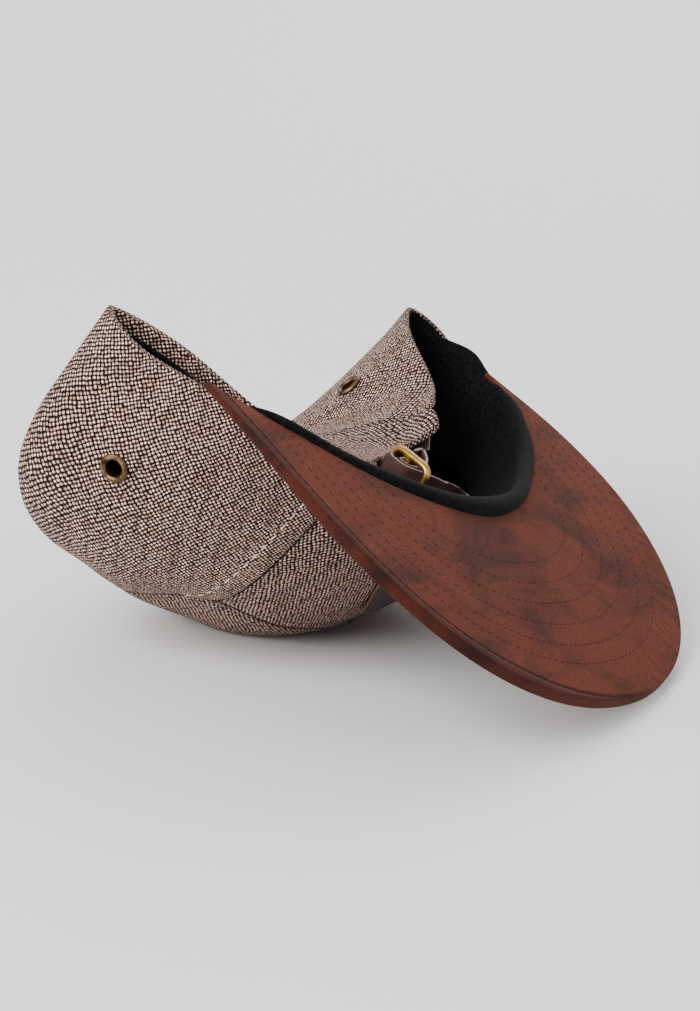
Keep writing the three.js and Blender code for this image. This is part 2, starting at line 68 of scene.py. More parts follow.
def add(tree, kind, links=None, stops=(), **settings):
    """Adds a node with its settings, its inputs as values or linked sockets, and its colours by place."""
    made = tree.nodes.new(kind)
    for key, value in settings.items():
        setattr(made, key, value)
    for key, value in (links or {}).items():
        if isinstance(value, bpy.types.NodeSocket):
            tree.links.new(value, made.inputs[key])
        else:
            made.inputs[key].default_value = value
    for k, (place, code) in enumerate(stops):
        made.color_ramp.elements[k].position = place
        made.color_ramp.elements[k].color = linear(code)
    return made


def new_finish(name, **sockets):
    """A material with its shader's plain values set, and its tree and shader."""
    made = bpy.data.materials.new(name)
    made.use_nodes = True
    shader = made.node_tree.nodes["Principled BSDF"]
    for key, value in sockets.items():
        shader.inputs[key.replace("_", " ")].default_value = value
    return made, made.node_tree, shader


# Wool tweed, plain woven and fulled: matte, with cream dots about a millimetre apart on dark brown.
# Every second row of dots is moved by half their pitch, and all wander a little, as wool threads do.
# Darker streaks follow the upright threads; near a seam the cloth is painted darker, as shade where it turns
# down into the seam.
DOT_PITCH = 1.5
DOT_ROW = 0.77
WANDER_WIDE, WANDER_BY = 6.25, 1.6
STREAK_WIDE, STREAK_LONG = 2, 25
THREAD_HIGH = 0.18
SEAM_SHADOW = (0.1, 1.1)
SEAM_TURN = 2.2
tweed, tree, shader = new_finish("wool_tweed", Roughness=0.95, Sheen_Weight=0.02, Specular_IOR_Level=0.1)
cloth = add(tree, "ShaderNodeUVMap", uv_map="weave")
wander = add(
    tree, "ShaderNodeTexNoise", {"Vector": cloth.outputs[0], "Scale": 1 / WANDER_WIDE, "Detail": 3.0}
)
centred = add(
    tree, "ShaderNodeVectorMath", {0: wander.outputs["Color"], 1: (0.5, 0.5, 0.5)}, operation="SUBTRACT"
)
drawn = add(
    tree,
    "ShaderNodeVectorMath",
    {0: centred.outputs[0], 1: (WANDER_BY, WANDER_BY, 0.0), 2: cloth.outputs[0]},
    operation="MULTIPLY_ADD",
)
lattice = add(
    tree,
    "ShaderNodeMapping",
    {
        "Vector": drawn.outputs[0],
        "Rotation": (0, 0, math.pi / 4),
        "Scale": (math.sqrt(2) / DOT_PITCH, math.sqrt(0.5) / DOT_ROW, 1),
    },
)
dots = add(
    tree,
    "ShaderNodeTexVoronoi",
    {"Vector": lattice.outputs[0], "Scale": 1.0, "Randomness": 0.24},
    voronoi_dimensions="2D",
)
thread_height = add(
    tree,
    "ShaderNodeMapRange",
    {"Value": dots.outputs["Distance"], "From Min": 0.08, "From Max": 0.46, "To Min": 1.0, "To Max": 0.0},
    interpolation_type="SMOOTHSTEP",
)
each = add(tree, "ShaderNodeSeparateColor", {0: dots.outputs["Color"]})
cream = add(
    tree, "ShaderNodeValToRGB", {"Fac": each.outputs[0]}, stops=((0.0, "#c29987"), (0.55, "#ffdcca"))
)
dotted = add(
    tree,
    "ShaderNodeMix",
    {0: thread_height.outputs[0], 6: linear("#1a0a06"), 7: cream.outputs[0]},
    data_type="RGBA",
)
stretched = add(
    tree,
    "ShaderNodeVectorMath",
    {0: cloth.outputs[0], 1: (1 / STREAK_WIDE, 1 / STREAK_LONG, 1.0)},
    operation="MULTIPLY",
)
streaks = add(tree, "ShaderNodeTexNoise", {"Vector": stretched.outputs[0], "Scale": 1.0, "Detail": 3.0})
streak_tone = add(
    tree,
    "ShaderNodeMapRange",
    {"Value": streaks.outputs[0], "From Min": 0.34, "From Max": 0.56, "To Min": 0.6, "To Max": 1.0},
)
streaked = add(
    tree,
    "ShaderNodeMix",
    {0: 1.0, 6: dotted.outputs[2], 7: streak_tone.outputs[0]},
    data_type="RGBA",
    blend_type="MULTIPLY",
)
# Painted shade: within about a millimetre of a seam the colour is darkened to a third, as the cloth turning
# into the seam would be shaded.
seam_mm = add(tree, "ShaderNodeAttribute", attribute_name="seam_mm")
seam_shade = add(
    tree,
    "ShaderNodeMapRange",
    {
        "Value": seam_mm.outputs["Fac"],
        "From Min": SEAM_SHADOW[0],
        "From Max": SEAM_SHADOW[1],
        "To Min": 0.35,
        "To Max": 1.0,
    },
)
shaded = add(
    tree,
    "ShaderNodeMix",
    {0: 1.0, 6: streaked.outputs[2], 7: seam_shade.outputs[0]},
    data_type="RGBA",
    blend_type="MULTIPLY",
)
tree.links.new(shaded.outputs[2], shader.inputs["Base Color"])
seam_roll = add(
    tree,
    "ShaderNodeMapRange",
    {"Value": seam_mm.outputs["Fac"], "From Min": 0.0, "From Max": SEAM_TURN, "To Min": 0.0, "To Max": 3.0},
    interpolation_type="SMOOTHSTEP",
)
relief = add(tree, "ShaderNodeMath", {0: thread_height.outputs[0], 1: seam_roll.outputs[0]}, operation="ADD")
bump = add(
    tree, "ShaderNodeBump", {"Height": relief.outputs[0], "Strength": 0.7, "Distance": THREAD_HIGH * MM}
)
tree.links.new(bump.outputs[0], shader.inputs["Normal"])

# Cloth back, the wool's dark inner face, painted nearly black with the shade inside the crown: flat, with a
# faint fuzz.
FUZZ_WIDE = 0.833
shaded_cloth_back, tree, shader = new_finish("cloth_back_painted_shade", Roughness=0.95, Specular_IOR_Level=0.1)
cloth = add(tree, "ShaderNodeUVMap", uv_map="weave")
fuzz = add(tree, "ShaderNodeTexNoise", {"Vector": cloth.outputs[0], "Scale": 1 / FUZZ_WIDE, "Detail": 4.0})
tone = add(tree, "ShaderNodeValToRGB", {"Fac": fuzz.outputs[0]}, stops=((0.0, "#050505"), (1.0, "#141213")))
tree.links.new(tone.outputs[0], shader.inputs["Base Color"])


def merged(node):
    """A CAD node's solid with its loose triangles merged and paired into quads."""
    mesh = bmesh.new()
    mesh.from_mesh(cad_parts[node].data)
    bmesh.ops.remove_doubles(mesh, verts=mesh.verts, dist=0.01 * MM)
    bmesh.ops.join_triangles(mesh, faces=mesh.faces, angle_face_threshold=0.9, angle_shape_threshold=1.4)
    mesh.normal_update()
    return mesh


# A wall's faces lie on its outside, on its inside towards the hollow, or on a cut edge.
# Faces that meet at less than the turn, in radians, are of one skin.
OUTSIDE, INSIDE, CUT = 0, 1, 2
SKIN_TURN = 0.6
HOLLOW = worn_to_world @ (Vector((10, 20, 45)) * MM)


def mark_sides(mesh):
    """Writes which side of a thin wall each face lies on."""
    side = mesh.faces.layers.int.new("side")
    groups = []
    left = set(mesh.faces)
    while left:
        group = [left.pop()]
        for face in group:
            for edge in face.edges:
                for other in edge.link_faces:
                    if other in left and edge.calc_face_angle(0.0) < SKIN_TURN:
                        left.discard(other)
                        group.append(other)
        groups.append(group)
    groups.sort(key=lambda group: -sum(face.calc_area() for face in group))
    skins = groups[:2]
    towards = [
        sum((HOLLOW - face.calc_center_median()).dot(face.normal) * face.calc_area() for face in skin)
        for skin in skins
    ]
    for face in mesh.faces:
        face[side] = CUT
    for skin, lean in zip(skins, towards):
        for face in skin:
            face[side] = INSIDE if lean == max(towards) else OUTSIDE
    return side


# The cut edges grow by half a seam's gap, so that neighbouring panels meet.
EDGE_PUSH = 0.36


def ready_edges(mesh, side):
    """Pushes a wall's cut edges out to the seam, and keeps their borders sharp under smoothing."""
    pushed = {}
    for face in mesh.faces:
        if face[side] == CUT:
            for vert in face.verts:
                pushed[vert] = pushed.get(vert, Vector()) + face.normal
    for vert, lean in pushed.items():
        vert.co += lean.normalized() * EDGE_PUSH * MM
    crease = mesh.edges.layers.float.new("crease_edge")
    for edge in mesh.edges:
        edge[crease] = 1.0 if len({face[side] for face in edge.link_faces}) > 1 else 0.0


def flattened(spots, fans):
    """Triangles laid flat at their own size with their angles kept, by least squares, as complex numbers."""
    p, q, r = (spots[fans[:, k]] for k in range(3))
    base = np.maximum(np.linalg.norm(q - p, axis=1), 1e-3)
    x = (q - p) / base[:, None]
    tall = np.maximum(np.linalg.norm(np.cross(x, r - p), axis=1), 1e-3)
    tip = ((r - p) * x).sum(1) + 1j * tall
    weight = np.c_[tip - base, -tip, base + 0j] / np.sqrt(base * tall)[:, None]
    angles = np.zeros((len(fans), len(spots)), complex)
    for k in range(3):
        angles[np.arange(len(fans)), fans[:, k]] += weight[:, k]
    first = int(np.argmax(np.linalg.norm(spots - spots.mean(0), axis=1)))
    reach = np.linalg.norm(spots - spots[first], axis=1)
    second = int(np.argmax(reach))
    free = np.setdiff1d(np.arange(len(spots)), (first, second))
    part = angles[:, free]
    flat = np.zeros(len(spots), complex)
    flat[second] = reach[second]
    balance = part.conj().T @ part + 1e-9 * np.eye(len(free))
    flat[free] = np.linalg.solve(balance, -part.conj().T @ (angles[:, second] * reach[second]))
    a, b, c = (flat[fans[:, k]] for k in range(3))
    return flat * math.sqrt((base * tall).sum() / np.abs(((b - a).conj() * (c - a)).imag).sum())


def lay_skins(mesh, side):
    """Maps a wall's two skins as flat cloth, in millimetres and upright to the crown."""
    weave = mesh.loops.layers.uv.new("weave")
    mesh.verts.index_update()
    mesh.verts.ensure_lookup_table()
    for inner in (True, False):
        faces = [face for face in mesh.faces if (face[side] == INSIDE) == inner]
        used = sorted({vert.index for face in faces for vert in face.verts})
        order = {index: k for k, index in enumerate(used)}
        spots = np.array([mesh.verts[index].co for index in used]) / MM
        fans = []
        for face in faces:
            ring = [order[vert.index] for vert in face.verts]
            fans += [(ring[0], ring[k], ring[k + 1]) for k in range(1, len(ring) - 1)]
        flat = flattened(spots, np.array(fans))
        rise = np.array([(world_to_worn @ mesh.verts[index].co).z for index in used])
        slope = np.linalg.lstsq(np.c_[flat.real, flat.imag, np.ones(len(used))], rise, rcond=None)[0]
        flat *= np.exp(1j * (math.pi / 2 - math.atan2(slope[1], slope[0])))
        for face in faces:
            for loop in face.loops:
                spot = flat[order[loop.vert.index]]
                loop[weave].uv = (spot.real, spot.imag)


# On a cut edge, a face whose ends lie further apart than this spans the border's start.
BORDER_JUMP = 30


def lay_cut_edges(mesh, side):
    """Maps a wall's cut edges along the outside's border and across from it, in millimetres."""
    weave = mesh.loops.layers.uv["weave"]
    beside = {}
    for edge in mesh.edges:
        if {face[side] for face in edge.link_faces} == {OUTSIDE, CUT}:
            a, b = edge.verts
            beside.setdefault(a, []).append(b)
            beside.setdefault(b, []).append(a)
    legs, left = [], set(beside)
    for first in sorted(beside, key=lambda vert: vert.index):
        here, before, run = first, None, 0.0
        while here in left:
            left.discard(here)
            after = next((vert for vert in beside[here] if vert is not before), None)
            if after is None:
                break
            legs.append((*here.co, *after.co, run))
            run += (after.co - here.co).length
            here, before = after, here
    legs = np.array(legs) / MM
    start, step, run = legs[:, :3], legs[:, 3:6] - legs[:, :3], legs[:, 6]
    long = np.maximum(np.linalg.norm(step, axis=1), 1e-6)
    for face in mesh.faces:
        if face[side] != CUT:
            continue
        spots = []
        for loop in face.loops:
            off = np.array(loop.vert.co) / MM - start
            share = np.clip((off * step).sum(1) / long**2, 0, 1)
            away = np.linalg.norm(off - step * share[:, None], axis=1)
            k = int(np.argmin(away))
            spots.append((run[k] + share[k] * long[k], away[k]))
        far = max(spot[0] for spot in spots)
        for loop, (u, v) in zip(face.loops, spots):
            loop[weave].uv = (u if far - u < BORDER_JUMP else far, v)


def made_piece(mesh, name, levels, materials):
    """Turns a mesh into a smooth finished object."""
    base = bpy.data.meshes.new(name)
    mesh.to_mesh(base)
    mesh.free()
    piece = bpy.data.objects.new(name, base)
    bpy.context.scene.collection.objects.link(piece)
    for material in materials:
        base.materials.append(material)
    smooth = piece.modifiers.new("smooth", "SUBSURF")
    smooth.levels = smooth.render_levels = levels
    shown = piece.evaluated_get(bpy.context.evaluated_depsgraph_get())
    piece.data = bpy.data.meshes.new_from_object(shown)
    piece.modifiers.clear()
    piece.data.name = name
    for polygon in piece.data.polygons:
        polygon.use_smooth = True
    return piece


def settle(piece, node):
    """Lets a finished piece stand for its CAD node, on the cap's one body."""
    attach(piece, "root")
    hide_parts(node)


# The rim's edges are rounded, and the inside's nearly black painted shade starts on them. Two panels have a
# hem, so that the tweed goes on inside to the depth where their painted shade starts.
EDGE_ROUND = 0.35
SHORT_EDGE = 0.6
HEMMED = ("side_panel_left", "back_panel")
HEM_DEEP = 12
SHADED_PAST_DEEP, SHADED_PAST_RIM = 1.0, 1.4


def hem(panel, hemmed):
    """Rounds a panel's cut edges, and gives its inside the nearly black painted shade."""
    wall = bmesh.new()
    wall.from_mesh(panel.data)
    side = wall.faces.layers.int["side"]
    weave = wall.loops.layers.uv["weave"]
    rims = [
        edge
        for edge in wall.edges
        if len({face[side] for face in edge.link_faces}) > 1 and edge.calc_length() > SHORT_EDGE * MM
    ]
    rounding = bmesh.ops.bevel(
        wall, geom=rims, offset=EDGE_ROUND * MM, segments=2, profile=0.5, affect="EDGES", loop_slide=True
    )
    for face in rounding["faces"]:
        face[side] = CUT
    for face in wall.faces:
        deep = (world_to_worn @ face.calc_center_median()).z / MM > HEM_DEEP
        across = sum(loop[weave].uv.y for loop in face.loops) / len(face.loops)
        past = across > (SHADED_PAST_DEEP if hemmed or deep else SHADED_PAST_RIM)
        inner = face[side] == INSIDE or (face[side] == CUT and past)
        face.smooth = True
        # The second material is the inside's painted shade: nearly black deep in the crown and on the cut
        # edge past the rim.
        face.material_index = 1 if inner and (deep or not hemmed) else 0
    wall.to_mesh(panel.data)
    wall.free()


SEAM_NEAR = 2.2
solids = {
    name: BVHTree.FromPolygons(
        [v.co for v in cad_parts[name].data.vertices],
        [p.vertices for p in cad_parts[name].data.polygons],
    )
    for name in PANELS
}


def seam_distance(piece, others):
    """Distance from each vertex of a panel to the seams where other panels meet it, in millimetres."""
    mesh = piece.data
    side = [item.value for item in mesh.attributes["side"].data]
    touching = {}
    for polygon in mesh.polygons:
        for key in polygon.edge_keys:
            touching.setdefault(key, set()).add(side[polygon.index])
    points = []
    for key, sides in touching.items():
        if sides == {OUTSIDE, CUT}:
            a, b = (mesh.vertices[k].co for k in key)
            middle = (a + b) / 2
            near = min(solids[other].find_nearest(middle)[3] for other in others)
            if near < SEAM_NEAR * MM:
                points += [a.lerp(b, t) for t in (0.0, 0.25, 0.5, 0.75, 1.0)]
    finder = KDTree(len(points))
    for k, point in enumerate(points):
        finder.insert(point, k)
    finder.balance()
    return np.array([finder.find(v.co)[2] / MM for v in mesh.vertices])


# The cloth's soft shapes, in millimetres: a ripple that dies out at the seams, a crease in the right fold,
# and, beside the brim's far corner, the rim tucked down under the band that rolls over it.
RIPPLE = {"high": 0.35, "long": 16, "from_seam": 10}
CREASE = {"start": (48, 0, 1), "end": (20, 13, 13), "deep": 1.6, "wide": 4.0}
TUCK = {"at": (92, -8, 1), "wide": 15, "down": 4.6}


def shape_cloth(panel, seam, lap):
    """Moves both skins of a panel alike into the cloth's soft shapes."""
    spots = [v.co.copy() for v in panel.data.vertices]
    side = [item.value for item in panel.data.attributes["side"].data]
    outside = sorted({k for p in panel.data.polygons if side[p.index] == OUTSIDE for k in p.vertices})
    finder = KDTree(len(outside))
    for k in outside:
        finder.insert(spots[k], k)
    finder.balance()
    leans = [panel.data.vertices[finder.find(spot)[1]].normal.copy() for spot in spots]
    start, end = Vector(CREASE["start"]), Vector(CREASE["end"])
    for k, (spot, lean) in enumerate(zip(spots, leans)):
        worn = world_to_worn @ spot / MM
        free = min(1.0, seam[k] / RIPPLE["from_seam"])
        shift = lap[k] + RIPPLE["high"] * free * noise.noise(worn / RIPPLE["long"])
        share = max(0.0, min(1.0, (worn - start).dot(end - start) / (end - start).length_squared))
        away = (worn - start.lerp(end, share)).length
        shift -= CREASE["deep"] * math.exp(-((away / CREASE["wide"]) ** 2))
        tucked = TUCK["down"] * math.exp(-(((worn - Vector(TUCK["at"])).length / TUCK["wide"]) ** 2))
        spots[k] = spot + (lean * shift + toward_crown * tucked) * MM
    panel.data.vertices.foreach_set("co", np.array(spots, dtype=np.float32).ravel())
    panel.data.update()


def lines_at(piece, value, level):
    """Polylines on a panel's outside where a value kept on its vertices has a level."""
    mesh = piece.data
    side = [item.value for item in mesh.attributes["side"].data]
    joined = {}
    point = {}
    for polygon in mesh.polygons:
        if side[polygon.index] != OUTSIDE:
            continue
        crossed = []
        for a, b in polygon.edge_keys:
            if (value[a] < level) != (value[b] < level):
                share = (level - value[a]) / (value[b] - value[a])
                point[(a, b)] = mesh.vertices[a].co.lerp(mesh.vertices[b].co, share)
                crossed.append((a, b))
        if len(crossed) == 2:
            joined.setdefault(crossed[0], []).append(crossed[1])
            joined.setdefault(crossed[1], []).append(crossed[0])
    lines = []
    left = set(joined)
    for start in sorted(joined, key=lambda key: len(joined[key])):
        if start not in left:
            continue
        line = [start]
        left.discard(start)
        while True:
            onward = [key for key in joined[line[-1]] if key in left]
            if not onward:
                break
            line.append(onward[0])
            left.discard(onward[0])
        if len(line) > 3:
            lines.append([point[key] for key in line])
    return lines


# The side panels lap over the front one: a raised strip along that seam, sewn down near its inner border.
# On the other panels, a row of stitches runs beside each seam. Painted shade darkens the cloth beside every
# seam, deepest beside the top's seams and lighter beside the walls' own.
LAPPED = ("side_panel_left", "side_panel_right")
LAP_WIDE = 6.5
LAP_HIGH = 0.5
LAP_RISE, LAP_FALL = 1.5, 2.0
SEAM_ROW = 3.2
WALL_SEAM_SHADE_LIFT = 0.8

seam_lines, lap_lines = [], []
for name in PANELS:
    wall = merged(name)
    side = mark_sides(wall)
    ready_edges(wall, side)
    lay_skins(wall, side)
    lay_cut_edges(wall, side)
    panel = made_piece(wall, name + "_cloth", 2, [tweed, shaded_cloth_back])
    hem(panel, name in HEMMED)
    seam = seam_distance(panel, [other for other in PANELS if other != name])
    lap = np.zeros(len(seam))
    if name in LAPPED:
        front_seam = seam_distance(panel, ["front_panel"])
        rise = np.clip(front_seam / LAP_RISE, 0, 1)
        fall = np.clip((LAP_WIDE + LAP_RISE - front_seam) / LAP_FALL, 0, 1)
        lap = LAP_HIGH * fall * rise
    shape_cloth(panel, seam, lap)
    crown_seam = seam_distance(panel, ["top_panel"] if name in WALLS else WALLS)
    # The stored distance sets the painted seam shade; the walls' own seams get it lighter by the lift.
    marked = panel.data.attributes.new("seam_mm", "FLOAT", "POINT")
    marked.data.foreach_set("value", np.minimum(crown_seam, seam + WALL_SEAM_SHADE_LIFT).astype(np.float32))
    if name in LAPPED:
        lap_lines += lines_at(panel, front_seam, LAP_WIDE)
    else:
        seam_lines += lines_at(panel, seam, SEAM_ROW)
    settle(panel, name)

# Seam and lap stitches: thread sewn through the cloth, brown beside the seams and cream along the laps.
# Each stitch is a short rounded bead that lies along its line and sinks half into the wool.
SEAM_STITCH = {"Pitch": 3.1, "Long": 2.0, "Thick": 0.34}
LAP_STITCH = {"Pitch": 4.2, "Long": 2.6, "Thick": 0.42}


def polyline_object(lines, name):
    """A curve object with one straight-segment spline for each line of points."""
    curve = bpy.data.curves.new(name, "CURVE")
    curve.dimensions = "3D"
    for line in lines:
        spline = curve.splines.new("POLY")
        spline.points.add(len(line) - 1)
        for k, point in enumerate(line):
            spline.points[k].co = (*point, 1.0)
    made = bpy.data.objects.new(name, curve)
    bpy.context.scene.collection.objects.link(made)
    return made


stitching = bpy.data.node_groups.new("stitch_line", "GeometryNodeTree")
sockets = {}
for label, kind, way in (
    ("Line", "NodeSocketGeometry", "INPUT"),
    ("Pitch", "NodeSocketFloat", "INPUT"),
    ("Long", "NodeSocketFloat", "INPUT"),
    ("Thick", "NodeSocketFloat", "INPUT"),
    ("Thread", "NodeSocketMaterial", "INPUT"),
    ("Stitches", "NodeSocketGeometry", "OUTPUT"),
):
    sockets[label] = stitching.interface.new_socket(label, in_out=way, socket_type=kind).identifier
given = add(stitching, "NodeGroupInput")
spaced = add(
    stitching,
    "GeometryNodeResampleCurve",
    {"Curve": given.outputs["Line"], "Length": given.outputs["Pitch"]},
    mode="LENGTH",
)
bead = add(stitching, "GeometryNodeMeshUVSphere", {"Segments": 6, "Rings": 5, "Radius": 0.5})
shape = add(
    stitching,
    "ShaderNodeCombineXYZ",
    {"X": given.outputs["Thick"], "Y": given.outputs["Thick"], "Z": given.outputs["Long"]},
)
heading = add(stitching, "GeometryNodeInputTangent")
turned = add(stitching, "FunctionNodeAlignRotationToVector", {"Vector": heading.outputs[0]}, axis="Z")
set_out = add(
    stitching,
    "GeometryNodeInstanceOnPoints",
    {
        "Points": spaced.outputs[0],
        "Instance": bead.outputs[0],
        "Rotation": turned.outputs[0],
        "Scale": shape.outputs[0],
    },
)
joined = add(stitching, "GeometryNodeRealizeInstances", {0: set_out.outputs[0]})
threaded = add(
    stitching, "GeometryNodeSetMaterial", {"Geometry": joined.outputs[0], "Material": given.outputs["Thread"]}
)
add(stitching, "NodeGroupOutput", {"Stitches": threaded.outputs[0]})


def sew(lines, name, stitch, thread):
    """Sews stitches of a thread along lines, as one plain mesh on the cap's one body."""
    line = polyline_object(lines, name + "_line")
    sewing = line.modifiers.new("sewing", "NODES")
    sewing.node_group = stitching
    for label, size in stitch.items():
        sewing[sockets[label]] = size * MM
    sewing[sockets["Thread"]] = thread
    shown = line.evaluated_get(bpy.context.evaluated_depsgraph_get())
    mesh = bpy.data.meshes.new_from_object(shown)
    bpy.data.objects.remove(line)
    for polygon in mesh.polygons:
        polygon.use_smooth = True
    made = bpy.data.objects.new(name, mesh)
    bpy.context.scene.collection.objects.link(made)
    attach(made, "root")
    return made


def mottled(tree, shader, wide, detail, stops):
    """Colours a finish by soft patches of a width in millimetres, and gives the patches back."""
    place = add(tree, "ShaderNodeTexCoord")
    patches = add(
        tree,
        "ShaderNodeTexNoise",
        {"Vector": place.outputs["Object"], "Scale": 1 / (wide * MM), "Detail": detail},
    )
    tone = add(tree, "ShaderNodeValToRGB", {"Fac": patches.outputs[0]}, stops=stops)
    tree.links.new(tone.outputs[0], shader.inputs["Base Color"])
    return patches


# Sewing thread, spun and plied from dull fibre: no shine, darker and lighter by turns along its plies.
PLY_LONG = 0.4


def new_thread(name, dark, light):
    """A sewing thread of one colour, with its plies' dark and light tones."""
    thread, tree, shader = new_finish(name, Roughness=0.95, Specular_IOR_Level=0.1)
    mottled(tree, shader, PLY_LONG, 2.0, ((0.35, dark), (0.65, light)))
    return thread


seam_thread = new_thread("brown_thread", "#3c2d25", "#584438")
sew(seam_lines, "seam_stitches", SEAM_STITCH, seam_thread)
lap_thread = new_thread("cream_thread", "#c2ac99", "#ead9c9")
sew(lap_lines, "lap_stitches", LAP_STITCH, lap_thread)

# Brim: a stiff board covered in brown suede on both faces, the edge bound by a strip of the same suede.
# The binding's sewn seam runs just inside the edge and into it past the tip; stitched rows follow further in.
# Its outline is two curves that meet at the tip, as worn, each with the pull of its ends.
BRIM_TIP = (-2, 119.3)
BRIM_SIDES = (
    {"corner": (-88.6, 0.5), "pull": (-114, 71.4), "tip_pull": -70.3},
    {"corner": (88.6, -1.5), "pull": (109, 66), "tip_pull": 74},
)
BRIM_STEPS = 240
BRIM_ROUND = 0.8
BRIM_CORNER = 0.9
# Between two lengths along the edge, the binding's seam leaves the face: from inside the edge to past it.
EDGE_SEAM = {"from": 125.0, "to": 205.0, "inside": 3.5, "outside": -0.8}


def bezier(a, b, c, d, t):
    """A point on a cubic curve."""
    s = 1 - t
    return a * s**3 + b * (3 * s * s * t) + c * (3 * s * t * t) + d * t**3


outer = []
for row in BRIM_SIDES:
    tip_pull = (BRIM_TIP[0] + row["tip_pull"], BRIM_TIP[1])
    ends = [np.array(end) for end in (row["corner"], row["pull"], tip_pull, BRIM_TIP)]
    steps = [bezier(*ends, t) for t in np.linspace(0, 1, BRIM_STEPS)]
    outer += steps if not outer else steps[::-1][1:]
outer = np.array(outer)
along = np.r_[0, np.cumsum(np.linalg.norm(np.diff(outer, axis=0), axis=1))]
tangent = np.gradient(outer, axis=0)
inward = np.c_[tangent[:, 1], -tangent[:, 0]] / np.linalg.norm(tangent, axis=1)[:, None]

# Suede, split leather brushed to a short nap: reddish brown, dull, cloudy where the nap lies different ways.
# The nap is drawn coarser than it is, so that it shows. The binding carries painted shade, darker where its
# edge turns away from the light; its seam is pressed in, and past the tip the cover puckers near the edge.
CLOUD_LONG, CLOUD_WIDE = 42.7, 19.2
NAP_WIDE = 0.667
NAP_HIGH = 0.3
GROOVE = (0.15, 1.0)
BINDING_SHADE_FADE = (-1.0, 0.2)
PUCKER_WIDE, PUCKER_LONG = 2.86, 20
PUCKER_INSIDE = (4.0, 16.0)
PUCKER_ALONG = (180.0, 220.0)
suede, tree, shader = new_finish(
    "brown_suede", Roughness=0.9, Sheen_Weight=0.2, Sheen_Tint=linear("#b0705a"), Specular_IOR_Level=0.2
)
place = add(tree, "ShaderNodeTexCoord")
brushed_way = add(
    tree,
    "ShaderNodeVectorMath",
    {0: place.outputs["Object"], 1: (CLOUD_WIDE / CLOUD_LONG, 1.0, 1.0)},
    operation="MULTIPLY",
)
clouds = add(
    tree,
    "ShaderNodeTexNoise",
    {
        "Vector": brushed_way.outputs[0],
        "Scale": 1 / (CLOUD_WIDE * MM),
        "Detail": 7.0,
        "Roughness": 0.68,
        "Distortion": 0.5,
    },
)
tone = add(
    tree, "ShaderNodeValToRGB", {"Fac": clouds.outputs[0]}, stops=((0.38, "#32130b"), (0.55, "#592316"))
)
nap = add(
    tree,
    "ShaderNodeTexNoise",
    {"Vector": place.outputs["Object"], "Scale": 1 / (NAP_WIDE * MM), "Detail": 4.0, "Roughness": 0.8},
)
nap_tone = add(
    tree,
    "ShaderNodeMapRange",
    {"Value": nap.outputs[0], "From Min": 0.3, "From Max": 0.7, "To Min": 0.4, "To Max": 1.5},
)
brushed = add(
    tree,
    "ShaderNodeMix",
    {0: 1.0, 6: tone.outputs[0], 7: nap_tone.outputs[0]},
    data_type="RGBA",
    blend_type="MULTIPLY",
)
edge_map = add(tree, "ShaderNodeUVMap", uv_map="edge")
apart = add(tree, "ShaderNodeSeparateXYZ", {0: edge_map.outputs[0]})
seam_line = add(
    tree,
    "ShaderNodeMapRange",
    {
        "Value": apart.outputs[0],
        "From Min": EDGE_SEAM["from"],
        "From Max": EDGE_SEAM["to"],
        "To Min": EDGE_SEAM["inside"],
        "To Max": EDGE_SEAM["outside"],
    },
)
from_seam = add(tree, "ShaderNodeMath", {0: apart.outputs[1], 1: seam_line.outputs[0]}, operation="SUBTRACT")
near_seam = add(tree, "ShaderNodeMath", {0: from_seam.outputs[0]}, operation="ABSOLUTE")
groove = add(
    tree,
    "ShaderNodeMapRange",
    {
        "Value": near_seam.outputs[0],
        "From Min": GROOVE[0],
        "From Max": GROOVE[1],
        "To Min": 0.3,
        "To Max": 1.0,
    },
    interpolation_type="SMOOTHSTEP",
)
# Painted shade: beyond the binding's seam the edge face is darkened to about half, as an edge turned from the
# light.
binding = add(
    tree,
    "ShaderNodeMapRange",
    {
        "Value": from_seam.outputs[0],
        "From Min": BINDING_SHADE_FADE[0],
        "From Max": BINDING_SHADE_FADE[1],
        "To Min": 0.48,
        "To Max": 1.0,
    },
)
shade = add(tree, "ShaderNodeMath", {0: groove.outputs[0], 1: binding.outputs[0]}, operation="MULTIPLY")
pressed = add(
    tree,
    "ShaderNodeMix",
    {0: 1.0, 6: brushed.outputs[2], 7: shade.outputs[0]},
    data_type="RGBA",
    blend_type="MULTIPLY",
)
tree.links.new(pressed.outputs[2], shader.inputs["Base Color"])
drawn = add(
    tree,
    "ShaderNodeVectorMath",
    {0: edge_map.outputs[0], 1: (1 / PUCKER_WIDE, 1 / PUCKER_LONG, 1.0)},
    operation="MULTIPLY",
)
puckers = add(tree, "ShaderNodeTexNoise", {"Vector": drawn.outputs[0], "Scale": 1.0, "Detail": 2.0})
near_edge = add(
    tree,
    "ShaderNodeMapRange",
    {
        "Value": apart.outputs[1],
        "From Min": PUCKER_INSIDE[0],
        "From Max": PUCKER_INSIDE[1],
        "To Min": 4.0,
        "To Max": 0.0,
    },
)
past_tip = add(
    tree,
    "ShaderNodeMapRange",
    {
        "Value": apart.outputs[0],
        "From Min": PUCKER_ALONG[0],
        "From Max": PUCKER_ALONG[1],
        "To Min": 0.0,
        "To Max": 1.0,
    },
)
where = add(tree, "ShaderNodeMath", {0: near_edge.outputs[0], 1: past_tip.outputs[0]}, operation="MULTIPLY")
fine = add(
    tree, "ShaderNodeMath", {0: groove.outputs[0], 1: 2.5, 2: nap.outputs[0]}, operation="MULTIPLY_ADD"
)
relief = add(
    tree,
    "ShaderNodeMath",
    {0: puckers.outputs[0], 1: where.outputs[0], 2: fine.outputs[0]},
    operation="MULTIPLY_ADD",
)
bump = add(tree, "ShaderNodeBump", {"Height": relief.outputs[0], "Strength": 0.7, "Distance": NAP_HIGH * MM})
tree.links.new(bump.outputs[0], shader.inputs["Normal"])

